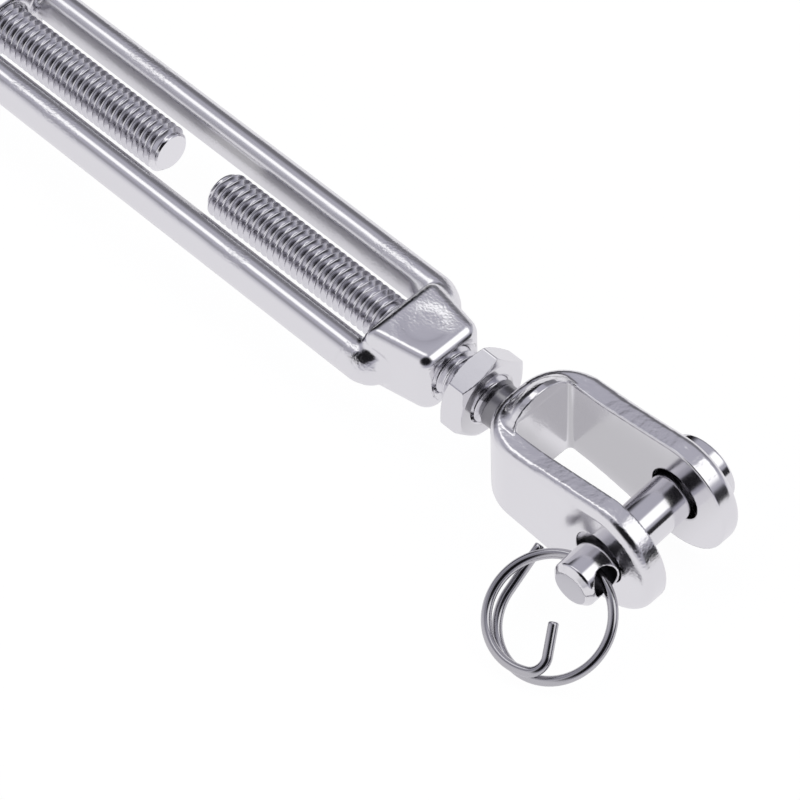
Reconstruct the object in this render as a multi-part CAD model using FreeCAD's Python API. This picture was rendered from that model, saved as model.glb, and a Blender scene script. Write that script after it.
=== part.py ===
"""Shroud adjuster: an open-body rigging screw with a clevis jaw at each end.

All lengths are in millimetres. X runs along the screw axis, Z is up and Y runs
along the clevis pins. The part lies at rest on the four jaw ears, so the floor
is Z = 0 and the screw axis is one ear radius above it.
"""
import FreeCAD, Part
import math
import os

V = FreeCAD.Vector
os.makedirs("parts", exist_ok=True)

# Screw thread, M6 x 1 (right-hand at +X, left-hand at -X)
thread_d = 6.0
thread_pitch = 1.0
running_clearance = 0.05          # radial, stud in the tapped bosses and nuts
tapped_r = thread_d / 2 + running_clearance

# Open body: two round bars joined by a tapped boss at each end
body_len = 86.6
boss_len = 9.6
boss_half_w = 6.2                 # half width where the bars leave the boss
boss_nose_w = 4.4                 # half width at the nut end
boss_half_h = 4.5
boss_round = 1.8
bar_d = 4.7
bar_offset = 6.45                 # bar centre line to screw axis
bar_end_r = 4.8                   # ball that rounds off a bar's end
bar_end_back = 0.7                # its centre, back from the boss face,
bar_end_in = 2.05                 # inside the bar's centre line,
bar_end_drop = 1.2                # and below the screw axis: the top is ground lower
dish_depth = 0.3
dish_r = 15.0
mouth_chamfer = 0.5               # at the window
nose_chamfer = 0.8                # at the nut end

# Studs as adjusted in the picture
stud_gap = 8.8                    # between the two stud ends, inside the body
stud_end_chamfer = 0.7

# Lock nut, thin M6 pattern
nut_across_flats = 10.0
nut_thickness = 3.2
nut_gap = 2.5                     # boss end face to nut
nut_turned = 15.0                 # degrees about the screw axis
nut_mouth_chamfer = 0.35
nut_face_land = 0.15              # the round face is this much smaller than the flats

# Jaw (clevis)
jaw_base_start = 3.7              # nut to the back of the jaw
base_thickness = 4.2
jaw_gap = 9.1
ear_thickness = 3.0
base_half_h = 5.8
eye_r = 7.5
throat_to_pin = 15.9              # inner face of the base to the pin centre
base_corner_r = 6.2
crown_r = 5.6                     # the domed top of the base
crown_rise = 2.45
crown_land = 0.8                  # level strip of the crown beside the gap
crown_back_r = 2.9                # where the dome runs out towards the stud
crown_wall = 0.4                  # the crown is this much wider than the gap, each side
edge_round = 1.2
flare_lead = 0.2                  # level run between the base's round corners and the flare
flare_bend_r = 15.0

# Clevis pin
pin_d = 5.8
pin_hole_d = 6.8
pin_drop = 0.33                   # the pin lies low in its holes,
pin_yaw = 2.2                     # cocked in plan as far as they let it
pin_dip = 0.3                     # and a little down at the ring end, degrees
head_r = 4.5
head_thickness = 2.2
head_clearance = 0.3
head_chamfer = 0.3
pin_reach = 4.95                  # past the outer face of the ear
pin_chamfer = 0.7
cross_hole_d = 3.6
cross_hole_in = 2.9               # from the pin's end to the cross hole
cross_hole_turn = 14.0            # how far the pin has turned from a level hole, degrees

# Split ring, one and a third turns of spring wire, the second turn lying on the first
wire_d = 1.2
ring_r = 6.95                     # centre line of the wire
ring_rise = 1.3                   # from one turn up to the next
ring_drift = -1.05                # and how far the next is moved along the cross hole
ring_wire_drop = -0.75            # wire outside the centre of the cross hole
ring_side = -0.45                 # middle of the ring to the middle of the cross hole
floor_clearance = 0.02
ring_start, ring_end = -177.0, 292.0   # plan angles of the coil; the pin is at 90
ring_pin = 90.0
ring_arcs = 9                     # the coil as that many arcs, each tangent to the last
tab_bend_r, tab_turn = 1.9, 100.0
ring_tail = 6.0
ring_tab = 3.8

axis_z = eye_r
half_gap = stud_gap / 2
boss_face = body_len / 2 - boss_len
nut_x = body_len / 2 + nut_gap
jaw_back = nut_x + nut_thickness + jaw_base_start
throat_x = jaw_back + base_thickness
pin_x = throat_x + throat_to_pin
ear_out = jaw_gap / 2 + ear_thickness
flare_x = jaw_back + base_corner_r + flare_lead


def cyl_x(x0, x1, r, y=0.0, z=0.0):
    """Round bar parallel to X."""
    return Part.makeCylinder(r, x1 - x0, V(x0, y, z), V(1, 0, 0))


def box(x0, x1, y0, y1, z0, z1):
    return Part.makeBox(x1 - x0, y1 - y0, z1 - z0, V(x0, y0, z0))


def turned_x(points, y=0.0, z=0.0):
    """Solid of revolution about a line parallel to X, from (x, radius) points."""
    outline = Part.makePolygon([V(x, y, z + r) for x, r in points + points[:1]])
    return Part.Face(outline).revolve(V(0, y, z), V(1, 0, 0), 360)


def half_turn(shape):
    """The same piece at the other end: turned half round about Z."""
    other = shape.copy()
    other.rotate(V(0, 0, 0), V(0, 0, 1), 180)
    return other


# Open body
def make_boss():
    x0, x1 = boss_face, body_len / 2
    plan = [V(x0, -boss_half_w, -boss_half_h), V(x1, -boss_nose_w, -boss_half_h),
            V(x1, boss_nose_w, -boss_half_h), V(x0, boss_half_w, -boss_half_h)]
    boss = Part.Face(Part.makePolygon(plan + plan[:1])).extrude(V(0, 0, 2 * boss_half_h))
    boss = boss.makeFillet(boss_round, boss.Edges)
    for side in (1, -1):
        centre = V((x0 + x1) / 2, 0, side * (boss_half_h + dish_r - dish_depth))
        boss = boss.cut(Part.makeSphere(dish_r, centre))
    return boss


def make_bar(side):
    """Straight round bar; each end runs on beside its boss and is rounded off by a ball."""
    y = side * bar_offset
    bar = cyl_x(-boss_face, boss_face, bar_d / 2, y)
    end = cyl_x(boss_face, boss_face + bar_end_r, bar_d / 2, y)
    ball = V(boss_face - bar_end_back, side * (bar_offset - bar_end_in), -bar_end_drop)
    end = end.common(Part.makeSphere(bar_end_r, ball))
    return bar.fuse([end, end.mirror(V(0, 0, 0), V(1, 0, 0))])


def make_body():
    right = make_boss()
    body = right.fuse([half_turn(right), make_bar(1), make_bar(-1)]).removeSplitter()
    for side in (1, -1):
        x0, x1 = boss_face, body_len / 2
        c, n, r = mouth_chamfer, nose_chamfer, tapped_r
        bore = turned_x([(x0 - c, 0), (x0 - c, r + c), (x0, r + c), (x0 + c, r), (x1 - n, r),
                         (x1, r + n), (x1 + n, r + n), (x1 + n, 0)])
        body = body.cut(bore if side > 0 else half_turn(bore))
    return body


# Jaw with its threaded stud, one piece
def ear_profile():
    """Side outline of both ears: level start, gentle bend, straight flare tangent to the round eye."""
    h, r = base_half_h, flare_bend_r
    corner_x = flare_x + flare_bend_r * 0.08
    reach = math.hypot(pin_x - corner_x, h)
    turn = math.atan2(-h, pin_x - corner_x) + math.asin(eye_r / reach)
    run = math.sqrt(reach ** 2 - eye_r ** 2)
    t = r * math.tan(turn / 2)
    level = (corner_x - t, h)
    bend = (corner_x - t + r * math.sin(turn / 2), h + r - r * math.cos(turn / 2))
    slope = (corner_x + t * math.cos(turn), h + t * math.sin(turn))
    eye = (corner_x + run * math.cos(turn), h + run * math.sin(turn))
    edges = [Part.makeLine(V(flare_x, 0, -h), V(flare_x, 0, h))]
    for k in (1, -1):
        edges += [
            Part.makeLine(V(flare_x, 0, k * h), V(level[0], 0, k * h)),
            Part.Arc(V(level[0], 0, k * h), V(bend[0], 0, k * bend[1]), V(slope[0], 0, k * slope[1])).toShape(),
            Part.makeLine(V(slope[0], 0, k * slope[1]), V(eye[0], 0, k * eye[1])),
        ]
    edges.append(Part.Arc(V(eye[0], 0, eye[1]), V(pin_x + eye_r, 0, 0), V(eye[0], 0, -eye[1])).toShape())
    return Part.Face(Part.Wire(Part.__sortEdges__(edges)))


def make_jaw():
    x_end = pin_x + eye_r + 1
    base = box(jaw_back, flare_x, -ear_out, ear_out, -base_half_h, base_half_h)
    base = base.makeFillet(base_corner_r, [e for e in base.Edges if e.BoundBox.ZLength > 1
                                           and e.BoundBox.XMax < jaw_back + 1e-3])
    base = base.makeFillet(edge_round, [e for e in base.Edges if e.BoundBox.ZLength < 1e-6
                                        and e.BoundBox.XMin < flare_x - 1e-3])
    ears = ear_profile()
    ears.translate(V(0, -ear_out, 0))
    ears = ears.extrude(V(0, 2 * ear_out, 0))
    ears = ears.makeFillet(edge_round, [e for e in ears.Edges if e.BoundBox.YLength < 1e-3
                                        and e.BoundBox.XMax > flare_x + 1e-3])
    jaw = base.fuse(ears)
    zc = base_half_h - (crown_r - crown_rise)
    dome_x, land_x = jaw_back + edge_round, throat_x - crown_land
    dome = Part.Arc(V(dome_x, 0, zc + crown_back_r),
                    V(dome_x + 0.45 * (land_x - dome_x), 0, zc + crown_back_r + 0.72 * (crown_r - crown_back_r)),
                    V(land_x, 0, zc + crown_r)).toShape()
    rest = Part.makePolygon([V(land_x, 0, zc + crown_r), V(throat_x, 0, zc + crown_r), V(throat_x, 0, zc),
                             V(dome_x, 0, zc), V(dome_x, 0, zc + crown_back_r)])
    crown = Part.Face(Part.Wire([dome] + rest.Edges)).revolve(V(0, 0, zc), V(1, 0, 0), 360)
    half_crown = jaw_gap / 2 + crown_wall
    crown = crown.common(box(jaw_back, throat_x, -half_crown, half_crown, 0, zc + crown_r + 1))
    jaw = jaw.fuse(crown)
    jaw = jaw.cut(box(throat_x, x_end, -jaw_gap / 2, jaw_gap / 2, -2 * eye_r, 2 * eye_r))
    jaw = jaw.cut(Part.makeCylinder(pin_hole_d / 2, 4 * ear_out, V(pin_x, -2 * ear_out, 0), V(0, 1, 0)))
    r, c = thread_d / 2, stud_end_chamfer
    stud = turned_x([(half_gap, 0), (half_gap, r - c), (half_gap + c, r), (jaw_back + 1, r),
                     (jaw_back + 1, 0)])
    return jaw.fuse(stud).removeSplitter()


# Lock nut
def make_nut():
    r = nut_across_flats / math.sqrt(3)
    x0, x1 = nut_x, nut_x + nut_thickness
    pts = [V(x0, r * math.cos(math.radians(60 * i)), r * math.sin(math.radians(60 * i))) for i in range(7)]
    nut = Part.Face(Part.makePolygon(pts)).extrude(V(nut_thickness, 0, 0))
    flat = nut_across_flats / 2
    face_r = flat - nut_face_land
    drop = (r - face_r) * math.tan(math.radians(30))
    nut = nut.common(turned_x([(x0, 0), (x0, face_r), (x0 + drop, r), (x1 - drop, r), (x1, face_r), (x1, 0)]))
    c = nut_mouth_chamfer
    nut = nut.cut(turned_x([(x0 - c, 0), (x0 - c, tapped_r + c), (x0, tapped_r + c), (x0 + c, tapped_r),
                            (x1 - c, tapped_r), (x1, tapped_r + c), (x1 + c, tapped_r + c), (x1 + c, 0)]))
    nut.rotate(V(0, 0, 0), V(1, 0, 0), nut_turned)
    return nut


# Clevis pin: a loose fit, so it lies low and slightly cocked in its holes
pin_end_y = -ear_out - pin_reach
cross_hole_y = pin_end_y + cross_hole_in


def seated(shape):
    """Tilt a shape built on the ear's centre line the way the loose pin lies."""
    middle = V(pin_x, 0, 0)
    shape.rotate(middle, V(1, 0, 0), pin_dip)
    shape.rotate(middle, V(0, 0, 1), pin_yaw)
    shape.translate(V(0, 0, -pin_drop))
    return shape


def make_pin():
    """Turned pin along Y: flat head outside the +Y ear, cross hole at the -Y end."""
    r, c = pin_d / 2, pin_chamfer
    head0 = ear_out + head_clearance
    head1 = head0 + head_thickness
    e = head_chamfer
    outline = [(pin_end_y, 0), (pin_end_y, r - c), (pin_end_y + c, r), (head0, r), (head0, head_r - e),
               (head0 + e, head_r), (head1 - e, head_r), (head1, head_r - e), (head1, 0)]
    face = Part.Face(Part.makePolygon([V(pin_x, y, q) for y, q in outline + outline[:1]]))
    pin = face.revolve(V(pin_x, 0, 0), V(0, 1, 0), 360)
    hole = cyl_x(pin_x - 2 * r, pin_x + 2 * r, cross_hole_d / 2, cross_hole_y)
    hole.rotate(V(pin_x, cross_hole_y, 0), V(0, 1, 0), -cross_hole_turn)
    pin = pin.cut(hole)
    return seated(pin)


# Split ring: through the pin's cross hole, its outer side down on the floor
hole_centre = seated(Part.Vertex(pin_x, cross_hole_y, 0)).Point
ring_reach = axis_z + hole_centre.z - wire_d / 2 - floor_clearance
ring_span = ring_wire_drop + 2 * ring_r
ring_slope = (math.asin(ring_reach / math.hypot(ring_span, ring_rise / 2))
              - math.atan2(ring_rise / 2, ring_span))


def make_ring():
    """Coil, straight tail and bent tab, made flat about Z and then leaned on the floor."""
    def coil(angle):
        a, turns = math.radians(angle), (angle - ring_pin) / 360
        return V(ring_r * math.cos(a) + ring_drift * turns, ring_r * math.sin(a), ring_rise * turns)

    def section(spot, heading):
        return Part.Face(Part.Wire(Part.makeCircle(wire_d / 2, spot, heading)))

    def swing(spot, heading, pivot, axis, turn):
        """Wire bent round a pivot: the piece, where it ends and where it then points."""
        bend = section(spot, heading).revolve(pivot, axis, turn)
        turned = FreeCAD.Rotation(axis, turn)
        return bend, pivot + turned.multVec(spot - pivot), turned.multVec(heading)

    spot = coil(ring_start)
    heading = (coil(ring_start + 1) - coil(ring_start - 1)).normalize()
    runs = [Part.makeCylinder(wire_d / 2, ring_tail, spot - heading * ring_tail, heading)]
    for k in range(1, ring_arcs + 1):
        chord = coil(ring_start + (ring_end - ring_start) * k / ring_arcs) - spot
        axis = heading.cross(chord).normalize()
        inward = axis.cross(heading)
        pivot = spot + inward * (chord.Length ** 2 / (2 * chord.dot(inward)))
        bend, spot, heading = swing(spot, heading, pivot, axis, math.degrees(2 * heading.getAngle(chord)))
        runs.append(bend)
    pivot = spot + V(-heading.y, heading.x, 0) * tab_bend_r
    bend, spot, heading = swing(spot, heading, pivot, V(0, 0, 1), tab_turn)
    runs += [bend, Part.makeCylinder(wire_d / 2, ring_tab, spot, heading)]
    ring = runs[0].fuse(runs[1:])
    # middle to its place: level along the cross hole, sloping down to the floor away from the pin
    yaw = math.radians(pin_yaw)
    along = V(math.cos(yaw), math.sin(yaw), 0)
    inward = V(-math.sin(yaw) * math.cos(ring_slope), math.cos(yaw) * math.cos(ring_slope), math.sin(ring_slope))
    middle = hole_centre + along * ring_side - inward * (ring_wire_drop + ring_r)
    ring.Placement = FreeCAD.Placement(middle, FreeCAD.Rotation(along, inward, along.cross(inward), "XYZ"))
    return ring


pieces = {
    "body": make_body(),
    "fork_right": make_jaw(),
    "lock_nut_right": make_nut(),
    "clevis_pin_right": make_pin(),
    "split_ring_right": make_ring(),
}
for name in ("fork", "lock_nut", "clevis_pin", "split_ring"):
    pieces[name + "_left"] = half_turn(pieces[name + "_right"])

for name, shape in pieces.items():
    shape.translate(V(0, 0, axis_z))
    b = shape.optimalBoundingBox(True, False)
    print(name, shape.isValid(), len(shape.Solids), round(shape.Volume, 1),
          [round(v, 2) for v in (b.XMin, b.XMax, b.YMin, b.YMax, b.ZMin, b.ZMax)])
    shape.exportStep("parts/" + name + ".step")
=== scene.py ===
"""Shroud adjuster: the looks of an open-body rigging screw in polished stainless steel.

Shapes are worked out in millimetres with the screw axis at Y = Z = 0 and are
brought into the frame, in metres, when each piece is made.
"""
import math

import bmesh
import bpy
import numpy as np
from mathutils import Matrix, Vector


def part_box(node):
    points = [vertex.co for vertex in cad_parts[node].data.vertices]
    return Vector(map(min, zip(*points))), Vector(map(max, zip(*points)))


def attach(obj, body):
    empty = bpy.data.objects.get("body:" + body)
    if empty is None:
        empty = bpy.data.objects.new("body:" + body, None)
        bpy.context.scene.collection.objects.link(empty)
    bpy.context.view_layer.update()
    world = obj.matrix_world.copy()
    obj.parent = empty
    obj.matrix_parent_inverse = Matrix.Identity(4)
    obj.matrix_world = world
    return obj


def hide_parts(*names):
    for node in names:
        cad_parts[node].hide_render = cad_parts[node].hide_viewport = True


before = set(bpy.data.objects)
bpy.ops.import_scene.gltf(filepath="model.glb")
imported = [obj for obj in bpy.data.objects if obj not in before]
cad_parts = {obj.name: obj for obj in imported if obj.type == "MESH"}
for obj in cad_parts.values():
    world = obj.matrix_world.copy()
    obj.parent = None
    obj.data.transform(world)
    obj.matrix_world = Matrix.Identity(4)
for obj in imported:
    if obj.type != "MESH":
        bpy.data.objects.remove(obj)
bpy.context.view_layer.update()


# Open body
#
# One investment casting: two round bars that turn in to a tapped boss at each end.
# Tumbled and buffed to a mirror, with soft hollows where the bars leave the bosses
# and a shallow bare dish on the top and bottom of each boss.
MM = 0.001
body_low, body_high = (np.array(corner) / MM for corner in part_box("body"))
axis_height = (body_low[2] + body_high[2]) / 2
body_half = body_high[0]
bar_r = 2.35
bar_y = body_high[1] - bar_r
# the ball that rounds off a bar's end, and its centre from the boss face and the bar's axis
bar_end_r, bar_end_back, bar_end_in, bar_end_drop = 4.8, 0.7, 2.05, 1.2
boss_len = 9.6
boss_face = body_half - boss_len
boss_root_w, boss_nose_w = 6.2, 4.4
boss_half_h = (body_high[2] - body_low[2]) / 2
boss_round = 1.8
bar_blend = 1.0
dish_r, dish_depth = 15.0, 0.3
bore_r, mouth_chamfer, nose_chamfer = 3.05, 0.5, 0.8


def trimmed(a, b, r):
    """Common part of two shapes, its edge rounded to r."""
    return np.minimum(np.maximum(a, b), -r) + np.hypot(np.maximum(a + r, 0), np.maximum(b + r, 0))


def blended(a, b, r):
    """Two shapes grown together with a hollow fillet of r."""
    return -trimmed(-a, -b, r)


def body_shape(x, y, z):
    """Distance from the body's skin; below zero is metal, as in each shape here."""
    x, y, height, z = np.abs(x), np.abs(y), z, np.abs(z)
    bars = np.hypot(y - bar_y, z) - bar_r
    past_face = x - boss_face
    ball = np.hypot(np.hypot(past_face + bar_end_back, y - bar_y + bar_end_in),
                    height + bar_end_drop) - bar_end_r
    bars = np.where(past_face < 0, bars, trimmed(bars, ball, np.clip(0.4 * past_face, 0.1, 0.8)))
    slope = (boss_root_w - boss_nose_w) / boss_len
    side = (y - boss_root_w + slope * past_face) / math.hypot(1, slope)
    ends = np.abs(past_face - boss_len / 2) - boss_len / 2
    boss = trimmed(trimmed(side, z - boss_half_h, boss_round), ends, boss_round)
    shape = blended(bars, boss, bar_blend)
    dish = dish_r - np.sqrt((past_face - boss_len / 2) ** 2 + y ** 2
                            + (z - boss_half_h - dish_r + dish_depth) ** 2)
    shape = trimmed(shape, blended(dish, z - boss_half_h + dish_depth / 2, 0.05), 0.12)
    mouth = np.clip(mouth_chamfer - past_face, 0, 0.7) + np.clip(nose_chamfer - body_half + x, 0, 1)
    bore = bore_r + mouth - np.hypot(y, z)
    return trimmed(shape, bore, 0.12)


def skin(shape, low, high, cell):
    """Closed skin of a shape: points where its distance is zero, faces, and true normals."""
    low = np.array(low, float)
    lines = [np.arange(a, b + cell, cell) for a, b in zip(low, high)]
    value = shape(*np.meshgrid(*lines, indexing="ij"))
    inside = value < 0
    cells = np.array(value.shape) - 1
    total, count = np.zeros((*cells, 3)), np.zeros(cells)
    for axis in range(3):
        for a in (0, 1):
            for b in (0, 1):
                near = np.roll((0, a, b), axis)
                far = near + np.roll((1, 0, 0), axis)
                v0 = value[tuple(slice(o, o + n) for o, n in zip(near, cells))]
                v1 = value[tuple(slice(o, o + n) for o, n in zip(far, cells))]
                crossed = (v0 < 0) != (v1 < 0)
                part = np.where(crossed, v0 / np.where(crossed, v0 - v1, 1), 0)
                count += crossed
                for k in range(3):
                    total[..., k] += crossed * near[k] + (part if k == axis else 0)
    used = count > 0
    index = np.full(cells, -1)
    index[used] = np.arange(used.sum())
    points = low + cell * (np.argwhere(used) + total[used] / count[used][:, None])
    faces = []
    for axis in range(3):
        a1, a2 = (axis + 1) % 3, (axis + 2) % 3
        first, second = [slice(1, -1)] * 3, [slice(1, -1)] * 3
        first[axis], second[axis] = slice(0, -1), slice(1, None)
        change = inside[tuple(first)].astype(int) - inside[tuple(second)]
        at = np.argwhere(change != 0)
        quad = []
        for d1, d2 in ((0, 0), (1, 0), (1, 1), (0, 1)):
            corner = at.copy()
            corner[:, a1] += d1
            corner[:, a2] += d2
            quad.append(index[tuple(corner.T)])
        quad = np.stack(quad, 1)
        inward = change[change != 0] < 0
        quad[inward] = quad[inward][:, ::-1]
        faces.append(quad)

    def gradient(p):
        step = 0.01
        rise = [shape(*(p + step * e).T) - shape(*(p - step * e).T) for e in np.eye(3)]
        return np.stack(rise, 1) / (2 * step)

    for _ in range(4):
        g = gradient(points)
        move = (shape(*points.T) / np.maximum((g ** 2).sum(1), 0.2))[:, None] * g
        points -= np.clip(move, -cell / 2, cell / 2)
    g = gradient(points)
    return points, np.concatenate(faces), g / np.linalg.norm(g, axis=1)[:, None]


def metal_piece(name, points, faces, normals, side=1):
    """Object from a shape in millimetres; side -1 is the same piece at the other end."""
    turn = np.array([side, side, 1])
    mesh = bpy.data.meshes.new(name)
    mesh.from_pydata(((points * turn + [0, 0, axis_height]) * MM).tolist(), [], [list(f) for f in faces])
    mesh.shade_smooth()
    if normals is not None:
        mesh.normals_split_custom_set_from_vertices((normals * turn).tolist())
    piece = bpy.data.objects.new(name, mesh)
    bpy.context.scene.collection.objects.link(piece)
    return piece


def linear(hex_colour):
    """sRGB hex to linear RGBA."""
    parts = [int(hex_colour[i:i + 2], 16) / 255 for i in (1, 3, 5)]
    return (*(c / 12.92 if c <= 0.04045 else ((c + 0.055) / 1.055) ** 2.4 for c in parts), 1.0)


def add_node(tree, kind, settings=(), **links):
    """One node: settings on it or on its inputs, then what feeds its inputs."""
    made = tree.nodes.new(kind)
    for key, value in dict(settings).items():
        if isinstance(key, int) or key in made.inputs:
            made.inputs[key].default_value = value
        else:
            setattr(made, key, value)
    for key, source in links.items():
        target = made.inputs[int(key[1:])] if key[1:].isdigit() else made.inputs[key.replace("_", " ")]
        tree.links.new(source, target)
    return made


def polished_steel(name, colour, roughness, ripple_mm, ripple_height_mm,
                   grain_mm=0.0, grain_height_mm=0.0):
    """Stainless steel with a slow ripple, and finer grain where it has any, in real sizes."""
    steel = bpy.data.materials.new(name)
    steel.use_nodes = True
    tree = steel.node_tree
    shader = tree.nodes["Principled BSDF"]
    shader.inputs["Base Color"].default_value = linear(colour)
    shader.inputs["Metallic"].default_value = 1.0
    shader.inputs["Roughness"].default_value = roughness
    place = add_node(tree, "ShaderNodeTexCoord")
    under = None
    for size, height in ((ripple_mm, ripple_height_mm), (grain_mm, grain_height_mm)):
        if not height:
            continue
        noise = add_node(tree, "ShaderNodeTexNoise", {"Scale": 1 / (size * MM), "Detail": 2.0},
                         Vector=place.outputs["Object"])
        bump = add_node(tree, "ShaderNodeBump", {"Strength": 1.0, "Distance": height * MM},
                        Height=noise.outputs["Fac"])
        if under:
            tree.links.new(under.outputs["Normal"], bump.inputs["Normal"])
        under = bump
    if under:
        tree.links.new(under.outputs["Normal"], shader.inputs["Normal"])
    return steel


# Buffed casting: a mirror that still rolls a little, so straight reflections waver.
buffed_casting = polished_steel("buffed cast stainless steel", "#EAE9EC", 0.17, 3.0, 0.010, 0.35, 0.0012)

# Inside the window the bars look satin: light, with nothing mirrored clearly.
tree = buffed_casting.node_tree
spot = add_node(tree, "ShaderNodeSeparateXYZ", Vector=add_node(tree, "ShaderNodeTexCoord").outputs["Object"])
side_of = add_node(tree, "ShaderNodeMath", {"operation": "ABSOLUTE"}, i0=spot.outputs["Y"])
lengthways = add_node(tree, "ShaderNodeMath", {"operation": "ABSOLUTE"}, i0=spot.outputs["X"])
near_window = add_node(tree, "ShaderNodeMapRange",
                       {"From Min": (bar_y - 0.3) * MM, "From Max": (bar_y - 1.5) * MM},
                       Value=side_of.outputs[0])
before_boss = add_node(tree, "ShaderNodeMapRange",
                       {"From Min": boss_face * MM, "From Max": (boss_face - 1.5) * MM},
                       Value=lengthways.outputs[0])
satin = add_node(tree, "ShaderNodeMath", {"operation": "MULTIPLY"},
                 i0=before_boss.outputs[0], i1=near_window.outputs[0])
dulled = add_node(tree, "ShaderNodeMapRange", {"To Min": 0.17, "To Max": 0.32},
                  Value=satin.outputs[0])
tree.links.new(dulled.outputs[0], tree.nodes["Principled BSDF"].inputs["Roughness"])

# Here and there, and where the bars run into the bosses, fine pits break up what it mirrors.
place = add_node(tree, "ShaderNodeTexCoord")
patchy = add_node(tree, "ShaderNodeTexNoise", {"Scale": 1 / (8 * MM), "Detail": 1.0},
                  Vector=place.outputs["Object"])
patch = add_node(tree, "ShaderNodeMapRange", {"From Min": 0.50, "From Max": 0.62},
                 Value=patchy.outputs[0])
fine = add_node(tree, "ShaderNodeTexNoise", {"Scale": 1 / (0.3 * MM), "Detail": 3.0},
                Vector=place.outputs["Object"])
near_root = add_node(tree, "ShaderNodeMath",
                     {"operation": "COMPARE", 1: (boss_face + 2) * MM, 2: 3 * MM},
                     i0=lengthways.outputs[0])
outside = add_node(tree, "ShaderNodeMapRange", {"From Min": 5.9 * MM, "From Max": 6.9 * MM},
                   Value=side_of.outputs[0])
at_root = add_node(tree, "ShaderNodeMath", {"operation": "MULTIPLY"},
                   i0=near_root.outputs[0], i1=outside.outputs[0])
patch = add_node(tree, "ShaderNodeMath", {"operation": "MAXIMUM"},
                 i0=patch.outputs[0], i1=at_root.outputs[0])
pits = add_node(tree, "ShaderNodeMath", {"operation": "MULTIPLY"},
                i0=patch.outputs[0], i1=fine.outputs[0])
shader = tree.nodes["Principled BSDF"]
smooth = shader.inputs["Normal"].links[0].from_socket
pitted = add_node(tree, "ShaderNodeBump", {"Strength": 1.0, "Distance": 0.05 * MM},
                  Height=pits.outputs[0], Normal=smooth)
tree.links.new(pitted.outputs[0], shader.inputs["Normal"])

points, faces, normals = skin(body_shape, body_low - [0.6, 0.6, axis_height + 0.6],
                              body_high + [0.6, 0.6, 0.6 - axis_height], 0.26)
# The picture shows the inner sides of the bars light all over, as a nearly flat side would be.
# The shape stays round; only the shading of those sides is flattened.
inward = np.stack([0 * points[:, 0], -np.sign(points[:, 1]), 0 * points[:, 0]], 1)
faces_window = np.clip(((normals * inward).sum(1) - 0.5) / 0.25, 0, 1)
flat = faces_window * np.clip((boss_face - 1 - np.abs(points[:, 0])) / 2, 0, 1)
normals = normals + (inward - normals) * flat[:, None]
normals /= np.linalg.norm(normals, axis=1)[:, None]
body = metal_piece("body", points, faces, normals)
body.data.materials.append(buffed_casting)
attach(body, "body")
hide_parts("body")


# Jaws with their threaded studs
#
# Each is one piece: an open jaw cast and buffed like the body, and a stud with a rolled
# M6 x 1 thread, right-hand at +X and left-hand at -X. The crown over the jaw's base is domed.
jaw_low, jaw_high = (np.array(corner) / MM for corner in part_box("fork_right"))
nut_low, nut_high = (np.array(corner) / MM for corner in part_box("lock_nut_right"))
eye_r = axis_height - jaw_low[2]
pin_x = jaw_high[0] - eye_r
ear_out = jaw_high[1]
jaw_gap, jaw_back = 9.1, nut_high[0] + 3.7
throat_x = jaw_back + 4.2
base_half_h, base_corner_r, edge_round = 5.8, 6.2, 1.2
crown_r, crown_rise = 5.6, 2.45
crown_fall_r, crown_fall_in = 3.38, 4.546     # the round behind the dome, centre from the jaw's back
pin_hole_r = 3.4
thread_r, thread_pitch, stud_tip = 3.0, 1.0, jaw_low[0]
neck_x, neck_r = nut_high[0] + 0.5, 2.75


def jaw_shape(x, y, z):
    """Rounded base, two ears flaring out to round ends, domed crown, gap and pin hole."""
    y, h = np.abs(y), np.abs(z)
    corner_x = jaw_back + base_corner_r
    plan_x, plan_y = corner_x - x, y - ear_out + base_corner_r
    plan = (np.hypot(np.maximum(plan_x, 0), np.maximum(plan_y, 0))
            + np.minimum(np.maximum(plan_x, plan_y), 0) - base_corner_r)
    flare_x = corner_x + 1.4
    reach = math.hypot(pin_x - flare_x, base_half_h)
    turn = math.atan2(-base_half_h, pin_x - flare_x) + math.asin(eye_r / reach)
    touch_x = flare_x + math.sqrt(reach ** 2 - eye_r ** 2) * math.cos(turn)
    level = h - base_half_h
    flare = level * math.cos(turn) - (x - flare_x) * math.sin(turn)
    eye = np.hypot(x - pin_x, z) - eye_r
    outline = np.where(x < touch_x, blended(level, flare, 0.3), eye)
    shape = trimmed(plan, outline, edge_round)
    # the domed crown, its land level towards the gap and rounded off behind
    crown_z = base_half_h - (crown_r - crown_rise)
    back = np.sqrt(np.maximum(crown_fall_r ** 2 - (x - jaw_back - crown_fall_in) ** 2, 0.01))
    dome = np.hypot(y, z - crown_z) - np.where(x < throat_x - 0.8, back - crown_fall_r + 5.8, crown_r)
    dome = trimmed(dome, y - jaw_gap / 2 - 0.4, 0.8)
    dome = np.maximum(dome, jaw_back + 1.2 - x)
    dome = np.maximum(np.maximum(dome, -z), x - throat_x)
    shape = blended(shape, dome, 0.9)
    # the gap, its two inner corners filled with a small bead
    bead = 0.7
    gap_x, gap_y = throat_x - x + bead, y - jaw_gap / 2 + bead
    gap = (np.hypot(np.maximum(gap_x, 0), np.maximum(gap_y, 0))
           + np.minimum(np.maximum(gap_x, gap_y), 0) - bead)
    shape = trimmed(shape, -gap, 0.22)
    hole = pin_hole_r - np.hypot(x - pin_x, z)
    return trimmed(shape, hole, 0.15)


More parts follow.
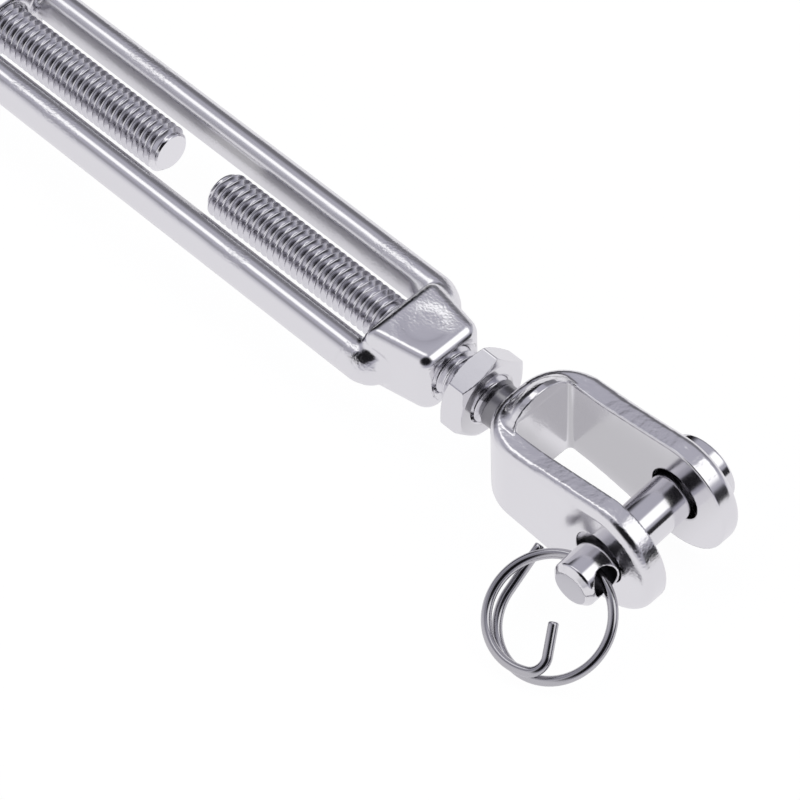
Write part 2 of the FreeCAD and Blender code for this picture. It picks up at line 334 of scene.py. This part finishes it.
def threaded_stud(hand):
    """Rolled thread as one helical ribbon of crest, flanks and root, closed at both ends."""
    around = 48
    depth = 0.6134 * thread_pitch
    # one turn's profile: place along the pitch, and how deep
    ribbon = [(-0.05, 0.0), (0.05, 0.0), (0.10, 0.09), (0.37, 0.93),
              (0.43, 1.0), (0.57, 1.0), (0.63, 0.93), (0.90, 0.09)]
    start, end = stud_tip, jaw_back + 0.8
    columns = int(((end - start) / thread_pitch + 2) * around)
    points = []
    for j in range(columns + around + 1):
        angle = 2 * math.pi * j / around
        for along, deep in ribbon:
            x = start + thread_pitch * (angle / (2 * math.pi) - 1 + along)
            x = min(max(x, start), end)
            r = min(thread_r - depth * deep, thread_r - 0.7 + (x - start))
            plain = min(max((x - neck_x) / 0.6, 0.0), 1.0)
            r = r * (1 - plain) + neck_r * plain
            points.append((x, hand * r * math.sin(angle), r * math.cos(angle)))
    n = len(ribbon)
    faces = []
    for j in range(columns):
        for k in range(n):
            a, b = j * n + k, (j + 1) * n + k
            c, d = (b + 1, a + 1) if k < n - 1 else ((j + 1 + around) * n, (j + around) * n)
            faces.append((a, b, c, d) if hand > 0 else (d, c, b, a))
    return np.array(points), faces


def close_ends(piece):
    """Merge what meets at the two end circles and cap them."""
    work = bmesh.new()
    work.from_mesh(piece.data)
    bmesh.ops.remove_doubles(work, verts=work.verts, dist=1e-7)
    bmesh.ops.dissolve_degenerate(work, edges=work.edges, dist=1e-7)
    rims = [e for e in work.edges if e.is_boundary]
    bmesh.ops.holes_fill(work, edges=rims, sides=0)
    bmesh.ops.delete(work, geom=[v for v in work.verts if not v.link_faces], context="VERTS")
    bmesh.ops.recalc_face_normals(work, faces=work.faces)
    work.to_mesh(piece.data)
    work.free()
    piece.data.set_sharp_from_angle(angle=math.radians(50))
    for face in piece.data.polygons:
        face.use_smooth = len(face.vertices) < 12


# Rolled thread: the flanks are coloured darker than the crests, as painted shade in the grooves, and are a
# little rougher.
rolled_thread = polished_steel("rolled stainless thread", "#F0EFF2", 0.16, 0.8, 0.002)
thread_flank_painted_shade = polished_steel("rolled stainless thread, flanks in painted shade", "#E0DFE4", 0.18, 0.8, 0.002)
# The tops of the ears and the crown keep the fine ripple of the mould.
rippled_top = polished_steel("cast stainless steel, rippled", "#EAE9EC", 0.17, 1.1, 0.07, 0.3, 0.003)
# The neck behind the nut is coloured dark as painted shade, standing in for the dark surroundings it mirrors,
# and is a little lumpy.
lumpy_neck_painted_shade = polished_steel("cast stainless steel neck, painted shade", "#8B8A8E", 0.24, 1.3, 0.05)

jaw_skin = skin(jaw_shape, (jaw_back - 0.6, -ear_out - 0.6, -eye_r - 0.6),
                (jaw_high[0] + 0.6, ear_out + 0.6, jaw_high[2] - axis_height + 0.6), 0.21)
for name, side in (("fork_right", 1), ("fork_left", -1)):
    jaw = metal_piece(name, *jaw_skin, side)
    jaw.data.materials.append(buffed_casting)
    jaw.data.materials.append(rippled_top)
    for face in jaw.data.polygons:
        face.material_index = int(face.normal.z > 0.8 and face.center.z > axis_height * MM)
    stud = metal_piece(name + " stud", *threaded_stud(side), None, side)
    close_ends(stud)
    stud.data.materials.append(rolled_thread)
    stud.data.materials.append(thread_flank_painted_shade)
    stud.data.materials.append(lumpy_neck_painted_shade)
    for face in stud.data.polygons:
        along = face.center.x * side / MM
        # faces on the flanks take the darker flank colour, painted shade in the grooves
        on_flank = abs(face.normal.x) > 0.3 and along > stud_tip + 0.8
        # faces behind the nut take the neck's dark colour, painted shade
        face.material_index = 2 if along > neck_x else int(on_flank)
    with bpy.context.temp_override(active_object=jaw, object=jaw, selected_editable_objects=[jaw, stud]):
        bpy.ops.object.join()
    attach(jaw, name)
    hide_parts(name)


# Lock nuts
#
# Thin hexagon nuts, machined and polished, chamfered on both faces, run up towards the boss.
nut_flat, nut_turned = 5.0, math.radians(15)
nut_mid, nut_half = (nut_low[0] + nut_high[0]) / 2, (nut_high[0] - nut_low[0]) / 2


def nut_shape(x, y, z):
    """Hexagon with its corners turned off at 30 degrees on both faces, and a plain bore."""
    c, s = math.cos(nut_turned), math.sin(nut_turned)
    v, w = c * y + s * z, c * z - s * y
    hexagon = np.full_like(x, -99.0)
    for k in range(3):
        a = math.radians(60 * k)
        hexagon = trimmed(hexagon, np.abs(v * math.sin(a) + w * math.cos(a)) - nut_flat, 0.12)
    along, r = np.abs(x - nut_mid), np.hypot(y, z)
    tilt = math.radians(30)
    shape = trimmed(hexagon, along - nut_half, 0.1)
    shape = trimmed(shape, (r - nut_flat + 0.15) * math.sin(tilt) + (along - nut_half) * math.cos(tilt), 0.06)
    bore = bore_r + np.maximum(0, 0.35 - (nut_half - along)) - r
    return trimmed(shape, bore, 0.08)


# Machined and polished: flat sides, each one clear shade, with crisp bright edges.
machined_steel = polished_steel("machined and polished stainless steel", "#E8E7EA", 0.15, 2.0, 0.003)
nut_skin = skin(nut_shape, nut_low - [0.4, 0.4, axis_height + 0.4],
                nut_high + [0.4, 0.4, 0.4 - axis_height], 0.13)
for name, side in (("lock_nut_right", 1), ("lock_nut_left", -1)):
    nut = metal_piece(name, *nut_skin, side)
    nut.data.materials.append(machined_steel)
    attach(nut, name)
    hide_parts(name)


# Clevis pins
#
# Turned from bar: a flat head outside one ear, a chamfered end with a cross hole outside the
# other. The pin is a loose fit, so it lies low and a little askew in the ears.
pin_r, pin_drop = 2.9, 0.33
pin_yaw, pin_dip = math.radians(2.2), math.radians(0.3)
pin_end, head_start, head_end, head_r = ear_out + 4.95, ear_out + 0.3, ear_out + 2.5, 4.5
pin_chamfer, cross_hole_r, cross_hole_y = 0.7, 1.8, pin_end - 2.9
cross_hole_turn = math.radians(14)


def pin_frame(x, y, z):
    """Row position to distances along and across the pin's own axis."""
    x, z = x - pin_x, z + pin_drop
    c, s = math.cos(pin_yaw), math.sin(pin_yaw)
    x, y = c * x + s * y, c * y - s * x
    c, s = math.cos(pin_dip), math.sin(pin_dip)
    return x, c * y + s * z, c * z - s * y


def pin_shape(x, y, z):
    """Shank with a chamfered end and a cross hole, and a flat head."""
    x, y, z = pin_frame(x, y, z)
    r = np.hypot(x, z)
    shank = trimmed(r - pin_r, np.maximum(-pin_end - y, y - head_start - 0.5), 0.1)
    shank = trimmed(shank, (r - pin_r + pin_chamfer - y - pin_end) / math.sqrt(2), 0.12)
    head_middle, head_half = (head_start + head_end) / 2, (head_end - head_start) / 2
    head = trimmed(r - head_r, np.abs(y - head_middle) - head_half, 0.35)
    shape = blended(shank, head, 0.15)
    level = z * math.cos(cross_hole_turn) - x * math.sin(cross_hole_turn)
    return trimmed(shape, cross_hole_r - np.hypot(y + cross_hole_y, level), 0.15)


# The cross hole is left dull from the drill, and its inside is coloured dark as painted shade in the hole.
drilled_steel_painted_shade = polished_steel("drilled stainless steel, painted shade", "#5C5B60", 0.4, 0.8, 0.01)
# The end is faced off and not polished after.
faced_steel = polished_steel("faced stainless steel", "#D0CFD4", 0.28, 0.9, 0.004)
# Turned and polished: the clearest mirror here, bands running straight along the pin.
turned_steel = polished_steel("turned and polished stainless steel", "#E8E7EA", 0.13, 2.5, 0.003)
pin_skin = skin(pin_shape, (pin_x - 5.4, -pin_end - 0.5, -5.4), (pin_x + 5.4, head_end + 0.5, 5.4), 0.16)
for name, side in (("clevis_pin_right", 1), ("clevis_pin_left", -1)):
    pin = metal_piece(name, *pin_skin, side)
    pin.data.materials.append(turned_steel)
    pin.data.materials.append(drilled_steel_painted_shade)
    pin.data.materials.append(faced_steel)
    for face in pin.data.polygons:
        x, y, z = pin_frame(*(np.array(face.center) / MM * [side, side, 1] - [0, 0, axis_height]))
        level = z * math.cos(cross_hole_turn) - x * math.sin(cross_hole_turn)
        in_hole = math.hypot(y + cross_hole_y, level) < cross_hole_r + 0.04
        drilled = in_hole and math.hypot(x, z) < pin_r - 0.15
        # faces inside the cross hole take the dark colour of painted shade
        face.material_index = 1 if drilled else 2 if y < 0.03 - pin_end else 0
    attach(pin, name)
    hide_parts(name)


# Split rings
#
# Hard-drawn spring wire, one and a third turns with the second lying on the first; the lower
# end is left straight and the upper end bent in as a finger tab. It leans from pin to floor.
wire_r = 0.6
ring_r, ring_rise, ring_drift, ring_drop, ring_side = 6.945, 1.3, -1.05, -0.75, -0.45
tail_len, tab_bend_r, tab_len = 6.0, 1.9, 3.8


def ring_path():
    """Centre line of the wire: X along the cross hole, Y towards the pin, Z up from the coil."""
    path = []
    for angle in np.radians(np.arange(-177, 292.1, 3)):
        turns = angle / (2 * math.pi) - 0.25
        path.append(np.array([ring_r * math.cos(angle) + ring_drift * turns,
                              ring_r * math.sin(angle), ring_rise * turns]))
    tail = path[0] - path[1]
    tail /= np.linalg.norm(tail)
    path = [path[0] + tail * step for step in np.linspace(tail_len, 0.6, 10)] + path
    heading = path[-1] - path[-2]
    heading /= np.linalg.norm(heading)
    arm = np.array([heading[1], -heading[0], 0]) * tab_bend_r
    pivot = path[-1] - arm
    for turn in np.radians(np.linspace(5, 100, 20)):
        c, s = math.cos(turn), math.sin(turn)
        path.append(pivot + [c * arm[0] - s * arm[1], s * arm[0] + c * arm[1],
                             heading[2] * tab_bend_r * turn])
    tab = path[-1] - path[-2]
    tab /= np.linalg.norm(tab)
    return path + [path[-1] + tab * step for step in np.linspace(tab_len / 10, tab_len, 10)]


def ring_tube():
    """The wire's skin, its ends broken by a small burr, leaning from the cross hole to the floor."""
    reach = axis_height - pin_drop - cross_hole_y * math.sin(pin_dip) - wire_r - 0.02
    span = ring_drop + 2 * ring_r
    slope = math.asin(reach / math.hypot(span, ring_rise / 2)) - math.atan2(ring_rise / 2, span)
    c, s = math.cos(pin_yaw), math.sin(pin_yaw)
    along = np.array([c, s, 0])
    inward = np.array([-s * math.cos(slope), c * math.cos(slope), math.sin(slope)])
    place = np.array([along, inward, np.cross(along, inward)])
    hole = np.array([pin_x + s * cross_hole_y, -c * cross_hole_y, -pin_drop - cross_hole_y * math.sin(pin_dip)])
    middle = hole + along * ring_side - inward * (ring_drop + ring_r)
    path = ring_path()
    around, burr = 20, 0.12
    points = []
    rows = ([(0, 0.0), (0, wire_r - burr)] + [(i, wire_r) for i in range(len(path))]
            + [(-1, wire_r - burr), (-1, 0.0)])
    for row, (i, r) in enumerate(rows):
        i %= len(path)
        d = path[min(i + 1, len(path) - 1)] - path[max(i - 1, 0)]
        d /= np.linalg.norm(d)
        inner = row in (2, len(rows) - 3)
        shift = burr * (1 if row == 2 else -1) if inner else 0
        spot = path[i] + d * shift
        side_dir = np.array([d[1], -d[0], 0]) / math.hypot(d[0], d[1])
        top_dir = np.cross(side_dir, d)
        for k in range(around):
            a = 2 * math.pi * k / around
            out = math.cos(a) * side_dir + math.sin(a) * top_dir
            points.append(middle + (spot + out * r) @ place)
    faces = []
    for row in range(len(rows) - 1):
        for k in range(around):
            k2 = (k + 1) % around
            low, high = row * around, (row + 1) * around
            faces.append((low + k, low + k2, high + k2, high + k))
    return np.array(points), faces


# Hard-drawn: darker than the castings, with bright lines that follow the wire round.
spring_wire = polished_steel("drawn stainless spring wire", "#BFBEC2", 0.15, 1.2, 0.002)
for name, side in (("split_ring_right", 1), ("split_ring_left", -1)):
    ring = metal_piece(name, *ring_tube(), None, side)
    close_ends(ring)
    ring.data.materials.append(spring_wire)
    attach(ring, name)
    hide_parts(name)


# Table, light and camera
#
# A white table in a light tent. The tent's walls are pale, with two soft boxes overhead and
# darker openings between them, which is what the polished metal shows.
bpy.ops.mesh.primitive_plane_add(size=6)
table = bpy.context.object
table.name = "white table"
paper = bpy.data.materials.new("matt white table paper")
paper.use_nodes = True
tree = paper.node_tree
tree.nodes.remove(tree.nodes["Principled BSDF"])
matt = add_node(tree, "ShaderNodeBsdfDiffuse", {"Color": linear("#F4F4F6")})
seen = add_node(tree, "ShaderNodeEmission", {"Color": linear("#FFFFFF"), "Strength": 1.07})
# What the metal mirrors of it: light, but for the shade between the ears of each jaw.
spot = add_node(tree, "ShaderNodeSeparateXYZ",
                Vector=add_node(tree, "ShaderNodeTexCoord").outputs["Object"])
across = add_node(tree, "ShaderNodeMath", {"operation": "ABSOLUTE"}, i0=spot.outputs["Y"])
lengthways = add_node(tree, "ShaderNodeMath", {"operation": "ABSOLUTE"}, i0=spot.outputs["X"])
beside = add_node(tree, "ShaderNodeMapRange",
                  {"interpolation_type": "SMOOTHSTEP", "From Min": 2.5 * MM, "From Max": 5.5 * MM},
                  Value=across.outputs[0])
off_jaw = add_node(tree, "ShaderNodeMath", {"operation": "SUBTRACT", 1: 62 * MM},
                   i0=lengthways.outputs[0])
off_jaw = add_node(tree, "ShaderNodeMath", {"operation": "ABSOLUTE"}, i0=off_jaw.outputs[0])
beyond = add_node(tree, "ShaderNodeMapRange",
                  {"interpolation_type": "SMOOTHSTEP", "From Min": 6 * MM, "From Max": 14 * MM},
                  Value=off_jaw.outputs[0])
shade = add_node(tree, "ShaderNodeMath", {"operation": "MAXIMUM"},
                 i0=beside.outputs["Result"], i1=beyond.outputs["Result"])
shade = add_node(tree, "ShaderNodeMapRange", {"To Min": 0.72, "To Max": 1.0}, Value=shade.outputs[0])
mirrored = add_node(tree, "ShaderNodeEmission", {"Color": linear("#EEEDF0")},
                    Strength=shade.outputs["Result"])
path = add_node(tree, "ShaderNodeLightPath")
glossy = add_node(tree, "ShaderNodeMixShader",
                  i0=path.outputs["Is Glossy Ray"], i1=matt.outputs[0], i2=mirrored.outputs[0])
# A tenth of the lit paper stays in what the camera sees, which keeps the object's shadow.
keep_shadow = add_node(tree, "ShaderNodeMath", {"operation": "MULTIPLY", 1: 0.90},
                       i0=path.outputs["Is Camera Ray"])
camera_mix = add_node(tree, "ShaderNodeMixShader",
                      i0=keep_shadow.outputs[0], i1=glossy.outputs[0], i2=seen.outputs[0])
tree.links.new(camera_mix.outputs[0], tree.nodes["Material Output"].inputs["Surface"])
table.data.materials.append(paper)

tent = bpy.data.worlds.new("light tent")
bpy.context.scene.world = tent
tent.use_nodes = True
tree = tent.node_tree
tree.nodes.clear()
look = add_node(tree, "ShaderNodeTexCoord")
# each patch: middle direction, stretch along X, Y, Z, inner and outer half angle, colour, strength
patches = [
    ("walls on the near side", (-0.3, -0.95, 0), (1, 1, 1), 30, 62, "#EEEDF0", 1.0),
    ("gap behind", (-0.46, 0.82, 0.30), (0.45, 1, 1), 3, 27, "#77767B", 1.0),
    ("gap to the left", (-0.95, 0.35, 0.02), (1, 1, 0.8), 14, 38, "#1C1B1E", 1.0),
    ("gap to the right", (0.91, 0.39, 0.09), (1, 0.6, 1), 12, 20, "#2A292C", 1.0),
    ("right soft box", (0.495, 0.42, 0.76), (1, 1, 1), 15, 23, "#FFFFFF", 1.3),
    ("overhead soft box", (-0.46, 0.16, 0.88), (0.35, 1, 1), 5, 13, "#FFFFFF", 1.3),
    ("camera and stand", (0.456, -0.418, 0.785), (1, 1, 1), 25, 42, "#161518", 1.0),
    ("lens side", (-0.46, -0.36, 0.81), (0.4, 1, 1), 2, 9, "#9A999F", 1.0),
]
colour = add_node(tree, "ShaderNodeRGB")
colour.outputs[0].default_value = linear("#B4B3BE")
colour = colour.outputs[0]
for label, middle, stretch, inner, outer, shade, strength in patches:
    middle = Vector(middle).normalized()
    stretched = Vector([m * s for m, s in zip(middle, stretch)]).normalized()
    wide = add_node(tree, "ShaderNodeVectorMath", {"operation": "MULTIPLY", 1: stretch, "label": label},
                    i0=look.outputs["Generated"])
    unit = add_node(tree, "ShaderNodeVectorMath", {"operation": "NORMALIZE"}, i0=wide.outputs[0])
    near = add_node(tree, "ShaderNodeVectorMath", {"operation": "DOT_PRODUCT", 1: stretched}, i0=unit.outputs[0])
    soft = add_node(tree, "ShaderNodeMapRange",
                    {"interpolation_type": "SMOOTHSTEP", "From Min": math.cos(math.radians(outer)),
                     "From Max": math.cos(math.radians(inner))}, i0=near.outputs["Value"])
    lit = tuple(c * strength for c in linear(shade)[:3]) + (1.0,)
    mix = add_node(tree, "ShaderNodeMix", {"data_type": "RGBA"}, i0=soft.outputs["Result"], i6=colour)
    mix.inputs[7].default_value = lit
    colour = mix.outputs[2]
tent_light = add_node(tree, "ShaderNodeBackground", {"Strength": 1.0}, Color=colour)
backdrop = add_node(tree, "ShaderNodeBackground", {"Color": linear("#FFFFFF"), "Strength": 1.0})
path = add_node(tree, "ShaderNodeLightPath")
# The metal mirrors the tent; only the camera sees plain white behind it.
world_mix = add_node(tree, "ShaderNodeMixShader", i0=path.outputs["Is Camera Ray"],
                     i1=tent_light.outputs[0], i2=backdrop.outputs[0])
output = add_node(tree, "ShaderNodeOutputWorld", Surface=world_mix.outputs[0])

# The camera looks down at the right-hand jaw from in front, as the photograph does.
azimuth, elevation, roll = math.radians(47.49), math.radians(51.76), math.radians(-2.58)
# fitted in stud diameters: how far off, and how far the frame's middle lies from the aim
unit_mm, distance, focal_px = 6.0, 80.01, 4080.275
slide_x, slide_y = -3.489, 4.086
aim = Vector((4.4, 0, axis_height))
right = Vector((math.cos(azimuth), math.sin(azimuth), 0))
back = Vector((math.sin(azimuth) * math.cos(elevation), -math.cos(azimuth) * math.cos(elevation),
               math.sin(elevation)))
up = back.cross(right)
right, up = (math.cos(roll) * right + math.sin(roll) * up,
             math.cos(roll) * up - math.sin(roll) * right)
place = (aim + unit_mm * (back * distance - right * slide_x - up * slide_y)) * MM
lens = bpy.data.cameras.new("camera")
lens.sensor_width = 36.0
lens.lens = focal_px * lens.sensor_width / 800
lens.clip_start, lens.clip_end = 0.01, 20
camera = bpy.data.objects.new("camera", lens)
bpy.context.scene.collection.objects.link(camera)
camera.matrix_world = Matrix.Translation(place) @ Matrix((right, up, back)).transposed().to_4x4()
bpy.context.scene.camera = camera
bpy.context.scene.view_settings.view_transform = "Standard"

bpy.context.view_layer.update()
